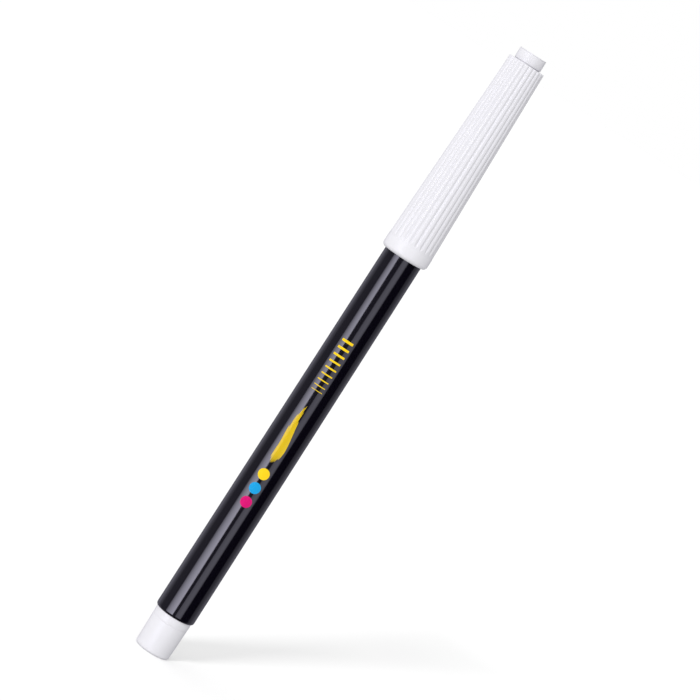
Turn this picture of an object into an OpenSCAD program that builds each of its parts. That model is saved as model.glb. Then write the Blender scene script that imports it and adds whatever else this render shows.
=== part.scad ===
// Capped brush pen, standing upright on the flat face of its end plug.
// Millimetres, +Z from the end plug to the cap's crown, origin in the middle of that flat face.

/* [Barrel] */
// Height of the barrel's rear rim above the end plug's flat face
barrel_z = 9; // [7:0.5:12]
// Length of the barrel, rear rim to front rim
barrel_len = 97; // [90:0.5:110]
// Outer diameter at the rear rim
barrel_rear_d = 8.96; // [8.8:0.01:9.2]
// Outer diameter at the front rim, a little less because the moulding has draft
barrel_front_d = 8.42; // [8.3:0.01:8.5]
// Bore that takes the plug, the reservoir and the front section
barrel_bore_d = 6.9; // [6.8:0.05:7.1]
// Rounding of the rear rim
rim_round = 0.6; // [0.3:0.05:0.7]

/* [End plug] */
// Diameter of the plug's head where it meets the barrel
plug_top_d = 8.22; // [7.8:0.01:8.4]
// Diameter of the plug's head at its flat face
plug_base_d = 7.84; // [7.6:0.01:8.2]
// Height of the fine line that runs round the head
plug_line_z = 7.2; // [4:0.1:8]
// Length of the spigot inside the barrel
plug_spigot_len = 6; // [4:0.5:10]

/* [Front section] */
// Length of the spigot inside the barrel
section_spigot_len = 8; // [6:0.5:10]
// Height of the collar between the barrel's front rim and the cap's land
collar_len = 1.2; // [0.8:0.1:2]
// Diameter of the land that the cap grips
land_d = 7.44; // [7.3:0.02:7.5]
// Length of the land
land_len = 6; // [5:0.5:7]
// Diameter of the nose round the nib
nose_d = 3.5; // [3.2:0.1:4]
// Height of the nose face above the end plug's flat face
nose_z = 128; // [126:0.5:130]

/* [Nib and ink reservoir] */
// Diameter of the nib's shank
nib_d = 2.5; // [2.2:0.1:2.6]
// Length of nib that stands out of the nose
nib_out = 8.2; // [7:0.1:8.4]
// Depth of the nib's shank inside the reservoir
nib_dip = 6; // [4:0.5:10]
// Diameter of the fibre core
core_d = 5.9; // [5.7:0.05:5.9]
// Thickness of the film round the core
film_t = 0.08; // [0.05:0.01:0.1]
// Outer diameter of the breather tube
breather_d = 0.9; // [0.7:0.05:0.9]

/* [Cap] */
// Height of the cap's lower rim above the end plug's flat face
cap_z = 97; // [95:0.1:100]
// Length of the cap without its crown
cap_len = 46.5; // [45.5:0.1:47]
// Diameter of the plain skirt
skirt_d = 10.5; // [10.3:0.05:10.8]
// Length of the plain skirt below the flutes
skirt_len = 2.8; // [2:0.1:6]
// Diameter at the shoulder, across the ribs
cap_top_d = 8.15; // [8:0.05:8.4]
// Number of flutes round the cap
flutes = 24; // [16:1:24]
// Depth of a flute
flute_depth = 0.22; // [0.1:0.01:0.26]
// Turn of the flutes about the pen's axis
flute_turn = 10; // [0:0.5:15]
// Rounding of the skirt's lower edge
lip_round = 0.85; // [0.3:0.05:0.85]
// Diameter of the crown on the cap's end
crown_d = 6.1; // [5.8:0.1:6.4]
// Height of the crown
crown_len = 2.5; // [1.5:0.1:4]

/* [Hidden] */
$fn = 96;

// Radial gaps: between pieces pushed together for good, and between the cap and the pen.
push_gap = 0.02;
slide_gap = 0.08;
// How far a cutter runs past the face that it cuts.
past = 1;

// Heights along the pen.
barrel_front_z = barrel_z + barrel_len;
plug_spigot_z = barrel_z + plug_spigot_len;
fin_z = plug_spigot_z + 1;
spigot_z = barrel_front_z - section_spigot_len;
chamber_z = spigot_z + 4;
collar_z = barrel_front_z + collar_len;
land_z = collar_z + land_len;
seal_len = 3;
seal_z = land_z + seal_len;
core_bore_z = spigot_z - nib_dip;
nib_tip_z = nose_z + nib_out;
cap_top_z = cap_z + cap_len;

// Radii.
bore_r = barrel_bore_d / 2;
spigot_r = bore_r - push_gap;
hollow_r = spigot_r - 0.53;
core_r = core_d / 2;
wrap_r = core_r + film_t;
collar_r = barrel_front_d / 2 - 0.05;
land_r = land_d / 2;
bead_r = land_r + 0.06;
seal_r = land_r - 0.34;
nib_r = nib_d / 2;
nose_r = nose_d / 2;
crown_r = crown_d / 2;

// Breather tube: it runs beside the core's axis, in a slot along the core.
breather_at = core_r - breather_d / 2 - 0.1;
breather_turn = 45;

// Cap: the mouth slides over the barrel, the grip holds the land, and the liner fills the rest.
cap_wall_top = 1.7;
mouth_r = barrel_front_d / 2 + 0.12;
grip_r = bead_r + slide_gap;
stop_z = collar_z + 0.05;
grip_top_z = land_z + 0.3;
cap_ceiling_z = cap_top_z - cap_wall_top;
pocket_low_r = grip_r - 0.02;
pocket_top_r = cap_top_d / 2 - 0.6;
liner_t = 0.4;
crown_spigot_r = crown_r - 0.55;
flute_z = cap_z + skirt_len;
rib_low_r = skirt_d / 2 - 0.04;

// Points of a quarter circle of radius r about [x, z], from angle a0 to a1.
function arc(x, z, r, a0, a1, steps = 5) = [
    for (i = [0 : steps]) let (a = a0 + (a1 - a0) * i / steps) [x + r * cos(a), z + r * sin(a)]
];

// Radius of the cap across its ribs at height z. They start a little below the skirt's surface.
function cap_r(z) =
    rib_low_r + (cap_top_d / 2 - rib_low_r) * max(0, z - flute_z) / (cap_top_z - flute_z);

// Radius of the cap's inner pocket at height z.
function pocket_r(z) =
    pocket_low_r + (pocket_top_r - pocket_low_r) * (z - grip_top_z) / (cap_ceiling_z - grip_top_z);

// A ring or disc turned from a closed outline of [radius, height] points.
module turned(outline) {
    rotate_extrude() polygon(outline);
}

// Black tube with a round rear rim, and four ribs inside that hold the reservoir.
module barrel() {
    ribs = 4;
    rib_t = 0.5;
    rib_in = wrap_r + push_gap;
    rear_r = barrel_rear_d / 2;
    rim = arc(rear_r - rim_round, barrel_z + rim_round, rim_round, -90, 0);
    color([0.02, 0.02, 0.03]) union() {
        turned(concat(
            [[bore_r, barrel_z]],
            rim,
            [[barrel_front_d / 2, barrel_front_z], [bore_r, barrel_front_z]]
        ));
        for (i = [0 : ribs - 1]) rotate(i * 360 / ribs)
            translate([rib_in, -rib_t / 2, fin_z + 0.5])
                cube([bore_r - rib_in + 0.1, rib_t, spigot_z - fin_z - 1]);
    }
}

// White plug: a head with a fine line round it, a hollow spigot, and a cross that holds the core up.
module end_plug() {
    floor_t = 1.2;
    edge_round = 0.6;
    base_r = plug_base_d / 2;
    line_r = base_r + (plug_top_d - plug_base_d) / 2 * plug_line_z / barrel_z;
    line_w = 0.12;
    fin_t = 0.8;
    edge = arc(base_r - edge_round, edge_round, edge_round, -90, 0);
    color([0.95, 0.94, 0.97]) union() {
        difference() {
            turned(concat(
                [[0, 0]],
                edge,
                [
                    [line_r, plug_line_z - line_w],
                    [line_r - line_w / 2, plug_line_z],
                    [line_r, plug_line_z + line_w],
                    [plug_top_d / 2, barrel_z],
                    [spigot_r, barrel_z],
                    [spigot_r, plug_spigot_z],
                    [0, plug_spigot_z]
                ]
            ));
            translate([0, 0, floor_t]) cylinder(r = hollow_r, h = plug_spigot_z);
        }
        intersection() {
            cylinder(r = wrap_r + 0.1, h = fin_z);
            for (turn = [0, 90]) rotate(turn)
                translate([-bore_r, -fin_t / 2, floor_t - 0.1])
                    cube([2 * bore_r, fin_t, fin_z - floor_t + 0.1]);
        }
    }
}

// Black nib holder: spigot in the barrel, collar, land with a snap bead, seal band and long cone.
module front_section() {
    vents = 3;
    vent_r = 0.22;
    bead_z = (collar_z + land_z) / 2;
    bead_w = 0.5;
    cone_r = seal_r - 0.3;
    nose_len = 0.6;
    nose_round = 0.3;
    nose = arc(nose_r - nose_round, nose_z - nose_round, nose_round, 0, 90);
    color([0.03, 0.03, 0.04]) difference() {
        turned(concat(
            [
                [0, spigot_z],
                [spigot_r, spigot_z],
                [spigot_r, barrel_front_z],
                [collar_r, barrel_front_z],
                [collar_r, collar_z],
                [land_r, collar_z],
                [land_r, bead_z - bead_w],
                [bead_r, bead_z - bead_w / 3],
                [bead_r, bead_z + bead_w / 3],
                [land_r, bead_z + bead_w],
                [land_r, land_z],
                [seal_r, land_z],
                [seal_r, seal_z],
                [cone_r, seal_z],
                [nose_r, nose_z - nose_len]
            ],
            nose,
            [[0, nose_z]]
        ));
        translate([0, 0, spigot_z - past]) cylinder(r = hollow_r, h = chamber_z - spigot_z + past);
        translate([0, 0, spigot_z]) cylinder(r = nib_r + push_gap, h = nose_z - spigot_z + past);
        for (i = [0 : vents - 1]) rotate(breather_turn + i * 360 / vents)
            translate([nib_r, 0, spigot_z]) cylinder(r = vent_r, h = nose_z - spigot_z + past);
    }
}

// Fibre nib: a long shank that dips into the core, and a pointed brush tip.
module nib() {
    shoulder_z = nose_z + 1.2;
    tip_r = 0.1;
    steps = 8;
    // The tip's outline bulges below the straight line from shoulder to point.
    tip = [
        for (i = [0 : steps]) let (t = i / steps)
            [tip_r + (nib_r - tip_r) * (1 - pow(t, 1.5)), shoulder_z + (nib_tip_z - shoulder_z) * t]
    ];
    tail = 0.3;
    color([0.12, 0.12, 0.14]) turned(concat(
        [[0, core_bore_z], [nib_r - tail, core_bore_z], [nib_r, core_bore_z + tail]],
        tip,
        [[0, nib_tip_z]]
    ));
}

// Bonded fibre core that holds the ink, with a hole for the nib and a slot for the breather tube.
module reservoir_core() {
    slot_r = breather_d / 2 + 0.03;
    slot_w = 0.8 * breather_d;
    color([0.3, 0.3, 0.33]) difference() {
        translate([0, 0, fin_z]) cylinder(r = core_r, h = spigot_z - fin_z);
        translate([0, 0, core_bore_z]) cylinder(r = nib_r + push_gap, h = nib_dip + past);
        rotate(breather_turn) translate([breather_at, 0, fin_z - past]) {
            cylinder(r = slot_r, h = barrel_len);
            translate([0, -slot_w / 2, 0]) cube([core_r, slot_w, barrel_len]);
        }
    }
}

// Film wrapped round the core.
module reservoir_wrap() {
    color([0.85, 0.86, 0.88]) turned([
        [core_r, fin_z],
        [wrap_r, fin_z],
        [wrap_r, spigot_z],
        [core_r, spigot_z]
    ]);
}

// Thin tube that leads air from behind the nib to the far end of the reservoir.
module breather_tube() {
    low_z = fin_z - 3;
    high_z = chamber_z - 1;
    color([0.9, 0.9, 0.86]) rotate(breather_turn) translate([breather_at, 0, low_z]) difference() {
        cylinder(r = breather_d / 2, h = high_z - low_z);
        translate([0, 0, -past]) cylinder(r = 0.55 * breather_d / 2, h = high_z - low_z + 2 * past);
    }
}

// One flute's cutter: it lies along the cap's slope, and narrows to a point at its lower end.
module flute_cutter() {
    low_r = 0.65;
    top_r = 0.45;
    run_out = 1.3;
    rise = cap_top_z - flute_z;
    low_at = cap_r(flute_z) + low_r - flute_depth;
    top_at = cap_r(cap_top_z) + top_r - flute_depth;
    lean = atan((low_at - top_at) / rise);
    translate([low_at, 0, flute_z]) rotate([0, -lean, 0]) rotate_extrude() polygon([
        [0, 0],
        [low_r - flute_depth, 0],
        [low_r - flute_depth / 4, run_out / 2],
        [low_r, run_out],
        [top_r, rise],
        [top_r, rise + past],
        [0, rise + past]
    ]);
}

// White tapering cap: a plain skirt with a round lower edge, flutes up to the shoulder, and a stepped
// bore inside.
module cap_shell() {
    skirt_r = skirt_d / 2;
    top_edge = 0.15;
    lip = arc(skirt_r - lip_round, cap_z + lip_round, lip_round, -90, 0);
    color([0.94, 0.93, 0.96]) difference() {
        turned(concat(
            [[mouth_r, cap_z]],
            lip,
            [
                [skirt_r, flute_z - 0.1],
                [rib_low_r, flute_z],
                [cap_r(cap_top_z - top_edge), cap_top_z - top_edge],
                [cap_top_d / 2 - top_edge, cap_top_z],
                [crown_spigot_r + push_gap, cap_top_z],
                [crown_spigot_r + push_gap, cap_ceiling_z],
                [pocket_top_r, cap_ceiling_z],
                [pocket_low_r, grip_top_z],
                [grip_r, grip_top_z],
                [grip_r, stop_z],
                [mouth_r, stop_z]
            ]
        ));
        for (i = [0 : flutes - 1]) rotate(flute_turn + i * 360 / flutes) flute_cutter();
    }
}

// Inner cup of the cap: its mouth closes on the section's seal band and keeps the nib wet.
module cap_liner() {
    ceiling_t = 0.5;
    rim_z = grip_top_z + 0.1;
    inner_z = cap_ceiling_z - ceiling_t;
    rim_r = pocket_r(rim_z) - push_gap;
    top_r = pocket_r(cap_ceiling_z) - push_gap;
    inner_top_r = pocket_r(inner_z) - push_gap - liner_t;
    color([0.88, 0.88, 0.9]) turned([
        [rim_r - liner_t, rim_z],
        [rim_r, rim_z],
        [top_r, cap_ceiling_z],
        [0, cap_ceiling_z],
        [0, inner_z],
        [inner_top_r, inner_z]
    ]);
}

// White stub pressed into the cap's end.
module cap_crown() {
    edge_round = 0.2;
    top_z = cap_top_z + crown_len;
    edge = arc(crown_r - edge_round, top_z - edge_round, edge_round, 0, 90, 3);
    color([0.95, 0.94, 0.97]) turned(concat(
        [
            [0, cap_ceiling_z],
            [crown_spigot_r, cap_ceiling_z],
            [crown_spigot_r, cap_top_z],
            [crown_r, cap_top_z]
        ],
        edge,
        [[0, top_z]]
    ));
}

barrel();
end_plug();
front_section();
nib();
reservoir_core();
reservoir_wrap();
breather_tube();
cap_shell();
cap_liner();
cap_crown();
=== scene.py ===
import math

import bmesh
import bpy
from mathutils import Matrix, Vector


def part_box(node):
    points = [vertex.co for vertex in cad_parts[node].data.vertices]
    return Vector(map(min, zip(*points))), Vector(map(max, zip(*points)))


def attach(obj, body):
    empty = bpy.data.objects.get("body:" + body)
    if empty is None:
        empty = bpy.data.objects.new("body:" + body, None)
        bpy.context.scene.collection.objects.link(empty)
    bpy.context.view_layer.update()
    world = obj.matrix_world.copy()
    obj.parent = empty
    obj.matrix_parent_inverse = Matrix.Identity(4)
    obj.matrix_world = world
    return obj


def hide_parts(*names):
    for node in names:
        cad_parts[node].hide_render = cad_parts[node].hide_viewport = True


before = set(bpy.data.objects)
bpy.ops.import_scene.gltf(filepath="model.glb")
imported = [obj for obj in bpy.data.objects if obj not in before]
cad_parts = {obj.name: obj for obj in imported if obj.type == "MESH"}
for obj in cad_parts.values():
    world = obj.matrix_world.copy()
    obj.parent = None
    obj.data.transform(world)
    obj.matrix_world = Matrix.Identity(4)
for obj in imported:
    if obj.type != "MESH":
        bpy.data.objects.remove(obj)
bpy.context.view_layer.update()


# ---------------------------------------------------------------- Camera
# The lens is long and stands level with the crown, so it looks down the pen by a few degrees.
# It is rolled, so that the upright pen leans to the right in the picture.
MM = 0.001
pen_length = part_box("cap_crown")[1][2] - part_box("end_plug")[0][2]
camera_distance = 4.51 * pen_length
camera_right = 1.035 * MM
look_down = math.radians(6.15)
pen_lean = math.radians(32.68)

camera = bpy.data.objects.new("camera", bpy.data.cameras.new("camera"))
camera.data.sensor_width = 36
camera.data.lens = 166.1
camera.data.clip_start = 0.01
camera.data.clip_end = 50
across = Vector((1, 0, 0))
ahead = Vector((0, math.cos(look_down), -math.sin(look_down)))
upward = across.cross(ahead)
picture_right = across * math.cos(pen_lean) + upward * math.sin(pen_lean)
picture_up = upward * math.cos(pen_lean) - across * math.sin(pen_lean)
turn = Matrix((picture_right, picture_up, -ahead)).transposed().to_4x4()
camera.matrix_world = Matrix.Translation((camera_right, -camera_distance, pen_length)) @ turn
bpy.context.scene.collection.objects.link(camera)
bpy.context.scene.camera = camera


# ---------------------------------------------------------------- Studio
# White acrylic floor, lit a little from below, with a key light from the front left and a soft fill
# that is brighter on the left. Gloss sees two tall softboxes before the pen and dim walls round it.
def add(tree, kind, inputs=(), **settings):
    """A new node of a tree. Each input takes a value or another node's output."""
    node = tree.nodes.new(kind)
    for key, value in settings.items():
        setattr(node, key, value)
    for place, value in dict(inputs).items():
        if isinstance(value, bpy.types.NodeSocket):
            tree.links.new(value, node.inputs[place])
        else:
            node.inputs[place].default_value = value
    return node


def sums(tree, operation, *values):
    """The output of one Math node on these values or outputs."""
    return add(tree, "ShaderNodeMath", enumerate(values), operation=operation).outputs[0]


def ramp_up(tree, value, start, end):
    """0 below start and 1 above end, with soft ends."""
    inputs = {"Value": value, "From Min": start, "From Max": end}
    return add(tree, "ShaderNodeMapRange", inputs, interpolation_type="SMOOTHSTEP").outputs[0]


def strip(tree, turned_to, left, right, soft):
    """1 between two bearings in degrees, with soft edges."""
    begins = ramp_up(tree, turned_to, left, sums(tree, "ADD", left, soft))
    ends = ramp_up(tree, turned_to, sums(tree, "SUBTRACT", right, soft), right)
    return sums(tree, "SUBTRACT", begins, ends)


def between(tree, value, *stops):
    """A level that runs straight from one (value, level) stop to the next."""
    first, last = stops[0][0], stops[-1][0]
    brightest = max(level for _, level in stops)
    share = add(tree, "ShaderNodeMapRange", {"Value": value, "From Min": first, "From Max": last})
    ramp = add(tree, "ShaderNodeValToRGB", {0: share.outputs[0]})
    elements = ramp.color_ramp.elements
    for place, _ in stops[1:-1]:
        elements.new((place - first) / (last - first))
    for element, (_, level) in zip(elements, stops):
        element.color = (level / brightest,) * 3 + (1,)
    return sums(tree, "MULTIPLY", ramp.outputs[0], brightest)


studio = bpy.data.worlds.new("studio")
bpy.context.scene.world = studio
studio.use_nodes = True
sky = studio.node_tree
sky.nodes.clear()
towards = add(sky, "ShaderNodeSeparateXYZ", {0: add(sky, "ShaderNodeTexCoord").outputs["Generated"]})
back_to_front = sums(sky, "MULTIPLY", towards.outputs["Y"], -1)
bearing = sums(sky, "DEGREES", sums(sky, "ARCTAN2", towards.outputs["X"], back_to_front))
# The left softbox leans, so its inner edge comes nearer to the middle low down. Edges are bearings
# in degrees.
box_soft = 1.5
left_box_outer, left_box_inner = -53, -20
lean_by_height, least_lean, most_lean = -53, -5, 13
low_down = sums(sky, "MULTIPLY", towards.outputs["Z"], lean_by_height)
lean = sums(sky, "MAXIMUM", sums(sky, "MINIMUM", low_down, most_lean), least_lean)
left_box_edge = sums(sky, "ADD", left_box_inner, lean)
left_glow = between(sky, bearing, (-52, 1.7), (-39, 4.2), (-27, 5.7), (-14, 6.9))
left_shape = strip(sky, bearing, left_box_outer, left_box_edge, box_soft)
left_box = sums(sky, "MULTIPLY", left_shape, left_glow)
right_box_inner, right_box_outer = 8, 43
right_glow = between(sky, bearing, (9, 1.5), (30, 1.95), (42, 1.3))
right_shape = strip(sky, bearing, right_box_inner, right_box_outer, box_soft)
right_box = sums(sky, "MULTIPLY", right_shape, right_glow)
boxes_fade, boxes_full = -0.45, -0.3
above_table = ramp_up(sky, towards.outputs["Z"], boxes_fade, boxes_full)
boxes = sums(sky, "MULTIPLY", sums(sky, "ADD", left_box, right_box), above_table)
walls = between(
    sky, bearing,
    (-180, 0.2), (-160, 0.25), (-130, 0.75), (-99, 0.45), (-97, 0.26), (-60, 0.28), (-50, 0.16),
    (7, 0.16), (9, 0), (91, 0), (93, 0.33), (130, 0.5), (165, 0.2), (180, 0.2),
)
gloss_light = sums(sky, "ADD", boxes, walls)
ray = add(sky, "ShaderNodeLightPath").outputs
fill = between(sky, towards.outputs["X"], (-1, 1.3), (0, 0.87), (0.5, 0.77), (1, 0.92))
gloss_or_fill = add(sky, "ShaderNodeMix", {0: ray["Is Glossy Ray"], 2: fill, 3: gloss_light})
seen = add(sky, "ShaderNodeMix", {0: ray["Is Camera Ray"], 2: gloss_or_fill.outputs[0], 3: 1.0})
cool_white = (0.97, 0.95, 1.15, 1)
neutral_white = (1, 1, 1, 1)
tints = {0: ray["Is Glossy Ray"], 6: neutral_white, 7: cool_white}
sky_colour = add(sky, "ShaderNodeMix", tints, data_type="RGBA")
glow = add(sky, "ShaderNodeBackground", {"Color": sky_colour.outputs[2], "Strength": seen.outputs[0]})
add(sky, "ShaderNodeOutputWorld", {"Surface": glow.outputs[0]})

key_bearing = math.radians(19)
key_height = math.radians(31.5)
key = bpy.data.objects.new("key_light", bpy.data.lights.new("key_light", "SUN"))
key.data.energy = 1.89
key.data.angle = math.radians(6.3)
shines_along = Vector((
    math.sin(key_bearing) * math.cos(key_height),
    math.cos(key_bearing) * math.cos(key_height),
    -math.sin(key_height),
))
key.rotation_euler = shines_along.to_track_quat("-Z", "Y").to_euler()
key.visible_glossy = False
bpy.context.scene.collection.objects.link(key)
bpy.context.scene.view_settings.view_transform = "Standard"

sweep_half = 20
sweep_mesh = bpy.data.meshes.new("sweep")
corners = [(-1, -1), (1, -1), (1, 1), (-1, 1)]
sweep_mesh.from_pydata([(x * sweep_half, y * sweep_half, 0) for x, y in corners], [], [(0, 1, 2, 3)])
sweep = bpy.data.objects.new("sweep", sweep_mesh)
bpy.context.scene.collection.objects.link(sweep)
sweep.visible_glossy = False
acrylic = bpy.data.materials.new("white_acrylic")
acrylic.use_nodes = True
acrylic_tree = acrylic.node_tree
acrylic_shader = acrylic_tree.nodes["Principled BSDF"]
acrylic_shader.inputs["Roughness"].default_value = 0.95
acrylic_shader.inputs["Specular IOR Level"].default_value = 0.0
acrylic_shader.inputs["Emission Color"].default_value = (1, 1, 1, 1)
acrylic_shader.inputs["Emission Strength"].default_value = 0.245
floor_place = add(acrylic_tree, "ShaderNodeTexCoord").outputs["Object"]
fine_mottle = {"Vector": floor_place, "Scale": 900.0, "Detail": 3.0}
floor_mottle = add(acrylic_tree, "ShaderNodeTexNoise", fine_mottle)
floor_tone = add(
    acrylic_tree,
    "ShaderNodeMix",
    {0: floor_mottle.outputs[0], 6: (0.635, 0.635, 0.635, 1), 7: (0.645, 0.645, 0.645, 1)},
    data_type="RGBA",
)
acrylic_tree.links.new(floor_tone.outputs[2], acrylic_shader.inputs["Base Color"])
sweep_mesh.materials.append(acrylic)


# ---------------------------------------------------------------- Barrel
# One long polished polystyrene tube, injection moulded with a slight draft, so it narrows forwards.
# Its rear rim is rounded, and four ribs inside hold the ink reservoir.
def rounded(outline, steps=4):
    """A closed outline of (radius, height, rounding) points, with each rounding drawn as a curve."""
    most_of_side = 0.49
    path = []
    for i, (radius, height, rounding) in enumerate(outline):
        corner = Vector((radius, height))
        if not rounding:
            path.append(corner)
            continue
        before = Vector(outline[i - 1][:2]) - corner
        after = Vector(outline[(i + 1) % len(outline)][:2]) - corner
        start = before.normalized() * min(rounding, before.length * most_of_side)
        end = after.normalized() * min(rounding, after.length * most_of_side)
        for step in range(steps + 1):
            t = step / steps
            path.append(corner + start * (1 - t) ** 2 + end * t ** 2)
    return path


def turned(name, outline, around=144, steps=4, sharp=40):
    """A moulding turned about the pen's axis. The outline is in millimetres, counterclockwise."""
    path = rounded(outline, steps)
    mesh = bmesh.new()
    rings = []
    for radius, height in path:
        if radius < 1e-6:
            rings.append([mesh.verts.new((0, 0, height * MM))] * around)
            continue
        angles = [2 * math.pi * i / around for i in range(around)]
        rings.append([
            mesh.verts.new((radius * MM * math.cos(a), radius * MM * math.sin(a), height * MM))
            for a in angles
        ])
    for ring, following in zip(rings, rings[1:] + rings[:1]):
        for i in range(around):
            j = (i + 1) % around
            face = list(dict.fromkeys((ring[i], ring[j], following[j], following[i])))
            if len(face) > 2:
                mesh.faces.new(face)
    bmesh.ops.recalc_face_normals(mesh, faces=mesh.faces)
    return finished(name, mesh, sharp)


def finished(name, mesh, sharp=40):
    """The object of a bmesh, smooth except along the edges that turn by more than sharp degrees."""
    for face in mesh.faces:
        face.smooth = True
    for edge in mesh.edges:
        edge.smooth = len(edge.link_faces) == 2 and edge.calc_face_angle() < math.radians(sharp)
    data = bpy.data.meshes.new(name)
    mesh.to_mesh(data)
    mesh.free()
    piece = bpy.data.objects.new(name, data)
    bpy.context.scene.collection.objects.link(piece)
    return piece


def moulded(name, colour, other, roughness, gloss_change, peel, flow):
    """Moulded plastic: slightly uneven tone and gloss, orange peel, and flow lines along the pen."""
    material = bpy.data.materials.new(name)
    material.use_nodes = True
    tree = material.node_tree
    shader = tree.nodes["Principled BSDF"]
    place = add(tree, "ShaderNodeTexCoord").outputs["Object"]
    along = add(tree, "ShaderNodeMapping", {"Vector": place, "Scale": (1, 1, 0.06)}).outputs[0]
    cloud = add(tree, "ShaderNodeTexNoise", {"Vector": place, "Scale": 90.0, "Detail": 4.0}).outputs[0]
    streak = add(tree, "ShaderNodeTexNoise", {"Vector": along, "Scale": 900.0, "Detail": 2.0}).outputs[0]
    grain = add(tree, "ShaderNodeTexNoise", {"Vector": place, "Scale": 2600.0, "Detail": 2.0}).outputs[0]
    tone = add(tree, "ShaderNodeMix", {0: cloud, 6: (*colour, 1), 7: (*other, 1)}, data_type="RGBA")
    tree.links.new(tone.outputs[2], shader.inputs["Base Color"])
    gloss_range = {
        "Value": cloud,
        "To Min": roughness - gloss_change,
        "To Max": roughness + gloss_change,
    }
    gloss = add(tree, "ShaderNodeMapRange", gloss_range).outputs[0]
    tree.links.new(gloss, shader.inputs["Roughness"])
    peeled = add(tree, "ShaderNodeBump", {"Height": grain, "Strength": peel, "Distance": 0.02 * MM})
    flowed = add(
        tree,
        "ShaderNodeBump",
        {"Height": streak, "Strength": flow, "Distance": 0.03 * MM, "Normal": peeled.outputs[0]},
    )
    tree.links.new(flowed.outputs[0], shader.inputs["Normal"])
    return material


def named_inputs(tree, sizes):
    """Gives a Geometry Nodes tree one named number per size, and a finish. Returns their sockets."""
    tree.interface.new_socket("Geometry", in_out="INPUT", socket_type="NodeSocketGeometry")
    kinds = {name: "NodeSocketFloat" for name in sizes} | {"Finish": "NodeSocketMaterial"}
    sockets = {
        name: tree.interface.new_socket(name, in_out="INPUT", socket_type=kind).identifier
        for name, kind in kinds.items()
    }
    tree.interface.new_socket("Geometry", in_out="OUTPUT", socket_type="NodeSocketGeometry")
    return sockets


def ended(tree, geometry):
    """Ends a tree: real geometry in place of instances, and the finish on all of it."""
    whole = add(tree, "GeometryNodeRealizeInstances", {0: geometry})
    finish = tree.nodes["Group Input"].outputs["Finish"]
    coated = add(tree, "GeometryNodeSetMaterial", {"Geometry": whole.outputs[0], "Material": finish})
    add(tree, "NodeGroupOutput", {0: coated.outputs[0]})


def reshaped(piece, tree, sockets, sizes, finish):
    """Runs a tree on a piece with these sizes, and keeps the result as its plain mesh."""
    modifier = piece.modifiers.new(tree.name, "NODES")
    modifier.node_group = tree
    for name, value in sizes.items():
        modifier[sockets[name]] = float(value)
    modifier[sockets["Finish"]] = finish
    evaluated = piece.evaluated_get(bpy.context.evaluated_depsgraph_get())
    mesh = bpy.data.meshes.new_from_object(evaluated)
    piece.modifiers.remove(modifier)
    piece.data = mesh


def with_walls(piece, finish, count, thickness, inner_r, outer_r, low, high):
    """Adds flat upright walls inside a piece, spread evenly round the pen's axis. Millimetres."""
    sizes = {
        "Walls": count,
        "Thickness": thickness * MM,
        "Inner radius": inner_r * MM,
        "Outer radius": outer_r * MM,
        "Low end": low * MM,
        "High end": high * MM,
    }
    tree = bpy.data.node_groups.new(piece.name + "_walls", "GeometryNodeTree")
    sockets = named_inputs(tree, sizes)
    size = add(tree, "NodeGroupInput").outputs
    wide = sums(tree, "SUBTRACT", size["Outer radius"], size["Inner radius"])
    tall = sums(tree, "SUBTRACT", size["High end"], size["Low end"])
    middle_r = sums(tree, "MULTIPLY", sums(tree, "ADD", size["Outer radius"], size["Inner radius"]), 0.5)
    middle_z = sums(tree, "MULTIPLY", sums(tree, "ADD", size["High end"], size["Low end"]), 0.5)
    block = add(tree, "ShaderNodeCombineXYZ", {0: wide, 1: size["Thickness"], 2: tall}).outputs[0]
    wall = add(tree, "GeometryNodeMeshCube", {"Size": block}).outputs["Mesh"]
    ring = {"Vertices": size["Walls"], "Radius": middle_r}
    places = add(tree, "GeometryNodeMeshCircle", ring).outputs[0]
    place = add(tree, "GeometryNodeInputPosition").outputs[0]
    outwards = add(tree, "FunctionNodeAlignRotationToVector", {"Vector": place}, axis="X").outputs[0]
    walls = add(
        tree,
        "GeometryNodeInstanceOnPoints",
        {"Points": places, "Instance": wall, "Rotation": outwards},
    )
    lift = add(tree, "ShaderNodeCombineXYZ", {2: middle_z}).outputs[0]
    lifted = add(tree, "GeometryNodeTransform", {"Geometry": walls.outputs[0], "Translation": lift})
    joined = add(tree, "GeometryNodeJoinGeometry")
    for geometry in (size["Geometry"], lifted.outputs[0]):
        tree.links.new(geometry, joined.inputs[0])
    ended(tree, joined.outputs[0])
    reshaped(piece, tree, sockets, sizes, finish)


barrel_low, barrel_high = [corner[2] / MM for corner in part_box("barrel")]
barrel_rear_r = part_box("barrel")[1][0] / MM
barrel_front_r = 4.21
barrel_bore_r = 3.45
barrel = turned("barrel_tube", [
    (barrel_bore_r, barrel_low, 0.1),
    (barrel_rear_r, barrel_low, 0.6),
    (barrel_front_r, barrel_high, 0.1),
    (barrel_bore_r, barrel_high, 0.1),
], steps=7)
black_ps = moulded(
    "black_polystyrene", (0.0018, 0.0014, 0.0035), (0.0024, 0.0019, 0.0043),
    roughness=0.1, gloss_change=0.02, peel=0.03, flow=0.05,
)
barrel.data.materials.append(black_ps)
core_low, core_high = [corner[2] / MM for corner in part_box("reservoir_core")]
wrap_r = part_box("reservoir_wrap")[1][0] / MM
rib_gap, rib_root, rib_end_gap = 0.02, 0.1, 0.5
with_walls(
    barrel, black_ps, count=4, thickness=0.5,
    inner_r=wrap_r + rib_gap, outer_r=barrel_bore_r + rib_root,
    low=core_low + rib_end_gap, high=core_high - rib_end_gap,
)
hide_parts("barrel")
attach(barrel, "pen")


def barrel_r(height):
    """Outer radius of the barrel at a height, in millimetres."""
    share = (height - barrel_low) / (barrel_high - barrel_low)
    return barrel_rear_r + (barrel_front_r - barrel_rear_r) * share


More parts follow.
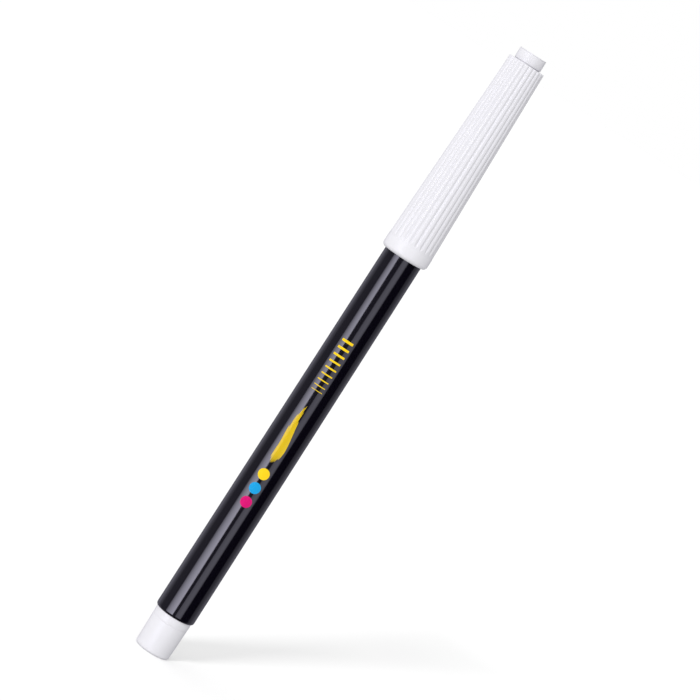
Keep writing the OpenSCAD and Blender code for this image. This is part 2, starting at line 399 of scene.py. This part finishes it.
# ---------------------------------------------------------------- Printing
# Plain pad printing on the barrel's front: three colour dots, a yellow brush stroke and a scale of
# line widths. The ink stands 15 micrometres proud and bites into the plastic a little.
ink_proud = 0.015
ink_bite = 0.01


def inked(mesh, low, high, edges, rows=14, columns=6):
    """Adds a closed skin of ink between two heights. edges(t) gives its left and right side in mm."""
    def point(side, height, lift):
        radius = barrel_r(height) + lift
        angle = side / barrel_r(height) - math.pi / 2
        x, y = radius * MM * math.cos(angle), radius * MM * math.sin(angle)
        return mesh.verts.new((x, y, height * MM))

    layers = []
    for lift in (-ink_bite, ink_proud):
        grid = []
        for row in range(rows + 1):
            t = 0.5 - 0.5 * math.cos(math.pi * row / rows)
            left, right = edges(t)
            height = low + (high - low) * t
            grid.append([
                point(left + (right - left) * column / columns, height, lift)
                for column in range(columns + 1)
            ])
        layers.append(grid)
    under, over = layers
    for row in range(rows):
        for column in range(columns):
            corners = [(row, column), (row, column + 1), (row + 1, column + 1), (row + 1, column)]
            mesh.faces.new([over[r][c] for r, c in corners])
            mesh.faces.new([under[r][c] for r, c in reversed(corners)])
    rim = [(0, c) for c in range(columns)] + [(r, columns) for r in range(rows)]
    rim += [(rows, c) for c in range(columns, 0, -1)] + [(r, 0) for r in range(rows, 0, -1)]
    for (r0, c0), (r1, c1) in zip(rim, rim[1:] + rim[:1]):
        mesh.faces.new([under[r0][c0], under[r1][c1], over[r1][c1], over[r0][c0]])


def printed(name, mesh, colour):
    """The finished print of one ink, which is satin and slightly uneven."""
    bmesh.ops.remove_doubles(mesh, verts=mesh.verts, dist=0.001 * MM)
    bmesh.ops.recalc_face_normals(mesh, faces=mesh.faces)
    piece = finished(name, mesh)
    thin = tuple(0.88 * channel for channel in colour)
    ink = moulded(
        name + "_ink", colour, thin, roughness=0.38, gloss_change=0.06, peel=0.25, flow=0.0
    )
    ink.node_tree.nodes["Principled BSDF"].inputs["Specular IOR Level"].default_value = 0.1
    piece.data.materials.append(ink)
    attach(piece, "pen")
    return piece


magenta, cyan, yellow = (0.54, 0.004, 0.135), (0.008, 0.28, 0.59), (0.74, 0.51, 0.01)
dot_r = 1.25
dot_centre = -0.1
dots = (("magenta", 37.6, magenta), ("cyan", 41.0, cyan), ("yellow", 44.4, yellow))


def circle(t):
    """Left and right side of a dot."""
    half = dot_r * math.sqrt(max(0, 1 - (2 * t - 1) ** 2))
    return dot_centre - half, dot_centre + half


for name, height, colour in dots:
    dot = bmesh.new()
    inked(dot, height - dot_r, height + dot_r, circle, columns=8)
    printed(f"print_dot_{name}", dot, colour)

# The stroke is a row of close bristle marks that run dry one after another.
stroke_low, stroke_high = 47.2, 61.0
stroke_length = stroke_high - stroke_low
bristle_ends = (0.62, 0.84, 0.97, 1.0, 0.9, 0.74)
bristle_starts = (0.07, 0.02, 0.0, 0.01, 0.03, 0.09)
print_centre = -0.2
bristle_gap = 0.34
bristle_half = 0.13
middle_bristle = (len(bristle_ends) - 1) / 2
stroke_sway = 0.28
swell_end = 0.24
stroke = bmesh.new()
for i, (begins, ends) in enumerate(zip(bristle_starts, bristle_ends)):
    def bristle(t, i=i, begins=begins, ends=ends):
        whole = begins + (ends - begins) * t
        if whole < swell_end:
            body = math.sin(math.pi * (whole * 1.35 + 0.18)) ** 0.5
        else:
            body = 1 - 0.55 * (whole - swell_end)
        sway = stroke_sway * math.sin(2 * math.pi * whole)
        middle = print_centre + sway + (i - middle_bristle) * bristle_gap * body
        half = bristle_half * body * (1 - abs(2 * t - 1) ** 6) ** 0.5
        return middle - half, middle + half

    mark_low = stroke_low + stroke_length * begins
    mark_high = stroke_low + stroke_length * ends
    inked(stroke, mark_low, mark_high, bristle, rows=28, columns=2)
printed("print_stroke", stroke, yellow)

# Nine bars across the pen, each thicker than the last.
scale_low, scale_high = 64.8, 76.6
bar_count = 9
bar_half = 1.3
bar_corner = 0.06
thinnest_bar, bar_growth = 0.12, 0.055
bar_spread = 1.15


def bar(t):
    """Left and right side of a bar, with its corners taken off a little."""
    half = bar_half - bar_corner * abs(2 * t - 1) ** 4
    return print_centre - half, print_centre + half


bars = bmesh.new()
for i in range(bar_count):
    thickness = thinnest_bar + bar_growth * i
    height = scale_low + (scale_high - scale_low) * (i / (bar_count - 1)) ** bar_spread
    inked(bars, height - thickness / 2, height + thickness / 2, bar, rows=6, columns=10)
printed("print_scale", bars, yellow)


# ---------------------------------------------------------------- End plug
# White polypropylene plug, pushed into the barrel's rear. A fine witness line runs round its head,
# the gate leaves a dimple in the flat face, and a cross inside holds the ink core up.
plug_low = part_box("end_plug")[0][2] / MM
plug_base_r, plug_top_r = 3.92, 4.11
plug_spigot_r = 3.43
plug_spigot_high = 15.0
plug_hollow_r = 2.9
plug_floor = 1.2
plug_gate_depth = 0.15
plug_line = 7.2
plug_line_r = plug_base_r + (plug_top_r - plug_base_r) * plug_line / barrel_low
white_pp = moulded(
    "white_polypropylene", (0.595, 0.59, 0.62), (0.585, 0.58, 0.61),
    roughness=0.36, gloss_change=0.03, peel=0.08, flow=0.03,
)
white_pp.node_tree.nodes["Principled BSDF"].inputs["Specular IOR Level"].default_value = 0.3
end_plug = turned("end_plug_head", [
    (0, plug_low + plug_gate_depth, 0),
    (0.5, plug_low + plug_gate_depth, 0.1),
    (0.75, plug_low, 0.15),
    (plug_base_r, plug_low, 0.6),
    (plug_line_r, plug_line - 0.09, 0.03),
    (plug_line_r - 0.07, plug_line, 0.03),
    (plug_line_r, plug_line + 0.09, 0.03),
    (plug_top_r, barrel_low, 0.08),
    (plug_spigot_r, barrel_low, 0.05),
    (plug_spigot_r, plug_spigot_high, 0.3),
    (plug_hollow_r, plug_spigot_high, 0.1),
    (plug_hollow_r, plug_low + plug_floor, 0.3),
    (0, plug_low + plug_floor, 0),
], steps=6)
end_plug.data.materials.append(white_pp)
# The arms of the cross run a little past the pen's axis, so that they are one block there.
past_axis = 0.2
cross_r = wrap_r + 0.07
with_walls(
    end_plug, white_pp, count=4, thickness=0.8,
    inner_r=-past_axis, outer_r=cross_r, low=plug_low + 1.1, high=core_low,
)
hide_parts("end_plug")
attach(end_plug, "pen")


# ---------------------------------------------------------------- Front section
# Black polypropylene nib holder, pushed into the barrel's front. The cap clicks over its bead, and the
# liner closes on the band above it. Its long cone has a satin, lightly eroded finish for the fingers.
section_low, section_high = [corner[2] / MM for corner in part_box("front_section")]
collar_r, land_r, seal_r, nose_r = 4.16, 3.72, 3.38, 1.75
collar_high, land_high, seal_high = barrel_high + 1.2, barrel_high + 7.2, barrel_high + 10.2
bead_height = (collar_high + land_high) / 2
nib_bore_r = 1.27
section_hollow_r, section_spigot_r = 2.9, 3.43
section_hollow_high = section_low + 4
bead_out = 0.06
section = turned("front_section_holder", [
    (section_hollow_r, section_low, 0.1),
    (section_spigot_r, section_low, 0.3),
    (section_spigot_r, barrel_high, 0),
    (collar_r, barrel_high, 0.08),
    (collar_r, collar_high, 0.15),
    (land_r, collar_high, 0.08),
    (land_r, bead_height - 0.5, 0.1),
    (land_r + bead_out, bead_height - 0.15, 0.1),
    (land_r + bead_out, bead_height + 0.15, 0.1),
    (land_r, bead_height + 0.5, 0.1),
    (land_r, land_high, 0.15),
    (seal_r, land_high, 0.05),
    (seal_r, seal_high, 0.15),
    (seal_r - 0.3, seal_high, 0.05),
    (nose_r, section_high - 0.6, 0.3),
    (nose_r, section_high, 0.3),
    (nib_bore_r, section_high, 0.08),
    (nib_bore_r, section_hollow_high, 0.05),
    (section_hollow_r, section_hollow_high, 0.2),
], steps=5)
section.data.materials.append(moulded(
    "black_polypropylene", (0.010, 0.0095, 0.013), (0.013, 0.012, 0.016),
    roughness=0.34, gloss_change=0.05, peel=0.5, flow=0.1,
))
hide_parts("front_section")
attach(section, "pen")


# ---------------------------------------------------------------- Nib
# Bonded polyester fibres ground to a brush point and soaked with black ink. The bundle shows as fine
# ridges that run up the point, and its tail dips into the ink core.
nib_low, nib_high = [corner[2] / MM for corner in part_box("nib")]
nib_r = 1.25
nib_tip_r = 0.1
nib_bulge = 1.5
ridge_depth = 0.035
nib_shoulder = section_high + 1.2
nib_around = 120
nib_mesh = bmesh.new()
nib_heights = [nib_low + 0.3, nib_shoulder - 0.01]
point_steps = 26
nib_heights += [nib_shoulder + (nib_high - nib_shoulder) * i / point_steps for i in range(point_steps)]
nib_rings = []
for height in nib_heights:
    t = max(0, (height - nib_shoulder) / (nib_high - nib_shoulder))
    radius = nib_tip_r + (nib_r - nib_tip_r) * (1 - t ** nib_bulge)
    shown = min(1, max(0, (height - section_high) / 1.0))
    ring = []
    for i in range(nib_around):
        a = 2 * math.pi * i / nib_around
        ridge = 0.5 + 0.3 * math.sin(30 * a + 0.8 * math.sin(3 * a)) + 0.2 * math.sin(17 * a + 2.1 * t)
        r = radius - ridge_depth * shown * ridge * min(1, radius)
        ring.append(nib_mesh.verts.new((r * MM * math.cos(a), r * MM * math.sin(a), height * MM)))
    nib_rings.append(ring)
for ring, following in zip(nib_rings, nib_rings[1:]):
    for i in range(nib_around):
        j = (i + 1) % nib_around
        nib_mesh.faces.new((ring[i], ring[j], following[j], following[i]))
for ring, height in ((nib_rings[0], nib_low), (nib_rings[-1], nib_high)):
    end = nib_mesh.verts.new((0, 0, height * MM))
    for i in range(nib_around):
        nib_mesh.faces.new((ring[i], ring[(i + 1) % nib_around], end))
bmesh.ops.recalc_face_normals(nib_mesh, faces=nib_mesh.faces)
nib = finished("nib_brush_point", nib_mesh)


def fibres(name, colour, other, roughness, stretch):
    """Bonded fibre: thin strands along the pen, lighter and darker, with a soft nap."""
    material = bpy.data.materials.new(name)
    material.use_nodes = True
    tree = material.node_tree
    shader = tree.nodes["Principled BSDF"]
    shader.inputs["Roughness"].default_value = roughness
    shader.inputs["Sheen Weight"].default_value = 0.15
    place = add(tree, "ShaderNodeTexCoord").outputs["Object"]
    along = add(tree, "ShaderNodeMapping", {"Vector": place, "Scale": (1, 1, stretch)}).outputs[0]
    strand_noise = {"Vector": along, "Scale": 7000.0, "Detail": 3.0}
    strands = add(tree, "ShaderNodeTexNoise", strand_noise).outputs[0]
    tone = add(tree, "ShaderNodeMix", {0: strands, 6: (*colour, 1), 7: (*other, 1)}, data_type="RGBA")
    tree.links.new(tone.outputs[2], shader.inputs["Base Color"])
    nap = add(tree, "ShaderNodeBump", {"Height": strands, "Strength": 0.6, "Distance": 0.04 * MM})
    tree.links.new(nap.outputs[0], shader.inputs["Normal"])
    return material


nib.data.materials.append(fibres(
    "inked_fibre", (0.006, 0.006, 0.008), (0.05, 0.05, 0.058), roughness=0.55, stretch=0.03
))
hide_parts("nib")
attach(nib, "pen")


# ---------------------------------------------------------------- Ink reservoir
# A bonded fibre core in a film sleeve, with a thin breather tube beside it. All three stay inside the
# barrel, so the frame's own shapes carry the finish.
def refinish(node, material):
    """Gives one of the frame's own pieces a material in place of its plain one."""
    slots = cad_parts[node].data.materials
    slots.clear()
    slots.append(material)


refinish("reservoir_core", fibres(
    "reservoir_fibre", (0.02, 0.02, 0.024), (0.07, 0.07, 0.08), roughness=0.9, stretch=0.02
))
refinish("reservoir_wrap", moulded(
    "polypropylene_film", (0.70, 0.71, 0.73), (0.66, 0.67, 0.70),
    roughness=0.18, gloss_change=0.04, peel=0.1, flow=0.4,
))
natural_pp = moulded(
    "natural_polypropylene", (0.70, 0.70, 0.68), (0.66, 0.66, 0.63),
    roughness=0.36, gloss_change=0.05, peel=0.2, flow=0.2,
)
refinish("breather_tube", natural_pp)


# ---------------------------------------------------------------- Cap shell
# White polypropylene cap with a plain skirt, a round lip and evenly spaced flutes for grip.
# The flutes run out to a point above the skirt and pass straight through the shoulder.
cap_low, cap_high = [corner[2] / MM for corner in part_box("cap_shell")]
skirt_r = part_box("cap_shell")[1][0] / MM
shoulder_r = 4.075
rib_low_r = skirt_r - 0.04
flute_low = cap_low + 2.8
ceiling = cap_high - 1.7
crown_hole_r = 2.52
pocket_low_r, pocket_top_r, grip_r, mouth_r = 3.84, 3.475, 3.86, 4.33
lip_round = 0.85
grip_top, stop_height = land_high + 0.3, collar_high + 0.05
flute_count = 24
columns_per_flute = 24
flute_turn = 10
flute_depth = 0.22
run_out = 1.3


def cap_r(height):
    """Outer radius of the cap across its ribs at a height, in millimetres."""
    share = max(0, (height - flute_low) / (cap_high - flute_low))
    return rib_low_r + (shoulder_r - rib_low_r) * share


run_out_steps, body_steps = 10, 14
run_out_rows = [flute_low + run_out * i / run_out_steps for i in range(run_out_steps + 1)]
body_length = cap_high - 0.4 - flute_low - run_out
body_rows = [flute_low + run_out + body_length * i / body_steps for i in range(1, body_steps + 1)]
lip_turns = [math.radians(10 * i - 90) for i in range(10)]
lip = [
    (skirt_r - lip_round * (1 - math.cos(a)), cap_low + lip_round * (1 + math.sin(a)), 0)
    for a in lip_turns
]
cap = turned("cap_shell_fluted", [
    (mouth_r, cap_low, 0.04),
    *lip,
    (skirt_r, flute_low - 0.1, 0),
    *[(cap_r(height), height, 0) for height in run_out_rows + body_rows],
    (shoulder_r, cap_high, 0.16),
    (shoulder_r - 0.45, cap_high, 0),
    (crown_hole_r, cap_high, 0.05),
    (crown_hole_r, ceiling, 0),
    (pocket_top_r, ceiling, 0.2),
    (pocket_low_r, grip_top, 0),
    (grip_r, grip_top, 0.02),
    (grip_r, stop_height, 0.1),
    (mouth_r, stop_height, 0.1),
], around=flute_count * columns_per_flute, steps=5)
cap.data.materials.append(white_pp)

flute_tree = bpy.data.node_groups.new("cap_flutes", "GeometryNodeTree")
flute_sizes = {
    "Flutes": flute_count,
    "Depth": flute_depth * MM,
    "Groove share": 0.67,
    "Turn": math.radians(flute_turn),
    "Lowest point": flute_low * MM,
    "Run-out": run_out * MM,
    "Inner wall": 0.5 * MM,
    "Lowest radius": rib_low_r * MM,
    "Taper": (rib_low_r - shoulder_r) / (cap_high - flute_low),
}
flute_sockets = named_inputs(flute_tree, flute_sizes)
size = add(flute_tree, "NodeGroupInput").outputs
position = add(flute_tree, "GeometryNodeInputPosition").outputs[0]
x, y, z = add(flute_tree, "ShaderNodeSeparateXYZ", {0: position}).outputs


def flute_sum(operation, *values):
    """The output of one Math node of the flutes' tree."""
    return sums(flute_tree, operation, *values)


# How far each point is from the middle of its groove, as a share of half a groove.
angle = flute_sum("SUBTRACT", flute_sum("ARCTAN2", y, x), size["Turn"])
turns = flute_sum("MULTIPLY", flute_sum("DIVIDE", angle, 2 * math.pi), size["Flutes"])
between_ribs = flute_sum("FRACT", flute_sum("ADD", turns, 0.5))
aside = flute_sum("ABSOLUTE", flute_sum("SUBTRACT", between_ribs, 0.5))
half_groove = flute_sum("MULTIPLY", size["Groove share"], 0.5)
off_middle = flute_sum("MINIMUM", flute_sum("DIVIDE", aside, half_groove), 1)
hollow = flute_sum("SUBTRACT", 1, off_middle)
# The groove gets shallower, and so narrower, towards its lowest point.
run_out_end = flute_sum("ADD", size["Lowest point"], size["Run-out"])
full = ramp_up(flute_tree, z, size["Lowest point"], run_out_end)
hollow = flute_sum("MAXIMUM", flute_sum("SUBTRACT", flute_sum("ADD", hollow, full), 1), 0)
# Only the outer wall is cut: it lies within a set distance of the tapering surface.
above = flute_sum("MAXIMUM", flute_sum("SUBTRACT", z, size["Lowest point"]), 0)
outer = flute_sum("SUBTRACT", size["Lowest radius"], flute_sum("MULTIPLY", above, size["Taper"]))
radius_squared = flute_sum("ADD", flute_sum("MULTIPLY", x, x), flute_sum("MULTIPLY", y, y))
radius = flute_sum("SQRT", radius_squared)
skin_share = 0.6
skin_depth = flute_sum("MULTIPLY", size["Inner wall"], skin_share)
skin = flute_sum("GREATER_THAN", radius, flute_sum("SUBTRACT", outer, skin_depth))
cut = flute_sum("MULTIPLY", flute_sum("MULTIPLY", hollow, skin), size["Depth"])
inward = flute_sum("DIVIDE", flute_sum("MULTIPLY", cut, -1), radius)
move = add(flute_tree, "ShaderNodeCombineXYZ", {
    0: flute_sum("MULTIPLY", x, inward),
    1: flute_sum("MULTIPLY", y, inward),
})
moved = {"Geometry": size["Geometry"], "Offset": move.outputs[0]}
cut_shell = add(flute_tree, "GeometryNodeSetPosition", moved)
ended(flute_tree, cut_shell.outputs[0])
reshaped(cap, flute_tree, flute_sockets, flute_sizes, white_pp)
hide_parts("cap_shell")
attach(cap, "cap")


# ---------------------------------------------------------------- Cap liner
# Thin natural polypropylene cup pressed up into the cap. Its mouth seals on the front section, so the
# nib stays wet.
liner_low, liner_high = [corner[2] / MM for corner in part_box("cap_liner")]
liner_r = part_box("cap_liner")[1][0] / MM
liner = turned("cap_liner_cup", [
    (0, liner_high - 0.5, 0),
    (3.05, liner_high - 0.5, 0.35),
    (liner_r - 0.4, liner_low + 0.4, 0.3),
    (liner_r - 0.3, liner_low, 0.05),
    (liner_r, liner_low, 0.1),
    (3.46, liner_high, 0.3),
    (0, liner_high, 0),
], steps=5)
liner.data.materials.append(natural_pp)
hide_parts("cap_liner")
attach(liner, "cap")


# ---------------------------------------------------------------- Cap crown
# Plain white polypropylene stub pressed into the cap's end. Its foot is slightly undercut, a fine line
# runs round it just below the top, and the moulding gate leaves a shallow dimple in its middle.
crown_low, crown_high = [corner[2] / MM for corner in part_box("cap_crown")]
crown_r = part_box("cap_crown")[1][0] / MM
crown_spigot_r = crown_r - 0.55
crown_foot_r = crown_r - 0.15
crown_gate_depth = 0.12
crown = turned("cap_crown_stub", [
    (0, crown_low, 0),
    (crown_spigot_r, crown_low, 0.2),
    (crown_spigot_r, cap_high, 0),
    (crown_foot_r, cap_high, 0),
    (crown_foot_r, cap_high + 0.15, 0),
    (crown_r, cap_high + 0.18, 0.05),
    (crown_r, crown_high - 0.24, 0.02),
    (crown_r - 0.06, crown_high - 0.2, 0),
    (crown_r, crown_high - 0.16, 0.02),
    (crown_r, crown_high, 0.1),
    (0.7, crown_high, 0.1),
    (0.45, crown_high - crown_gate_depth, 0.08),
    (0, crown_high - crown_gate_depth, 0),
], steps=6)
crown.data.materials.append(white_pp)
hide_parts("cap_crown")
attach(crown, "cap")
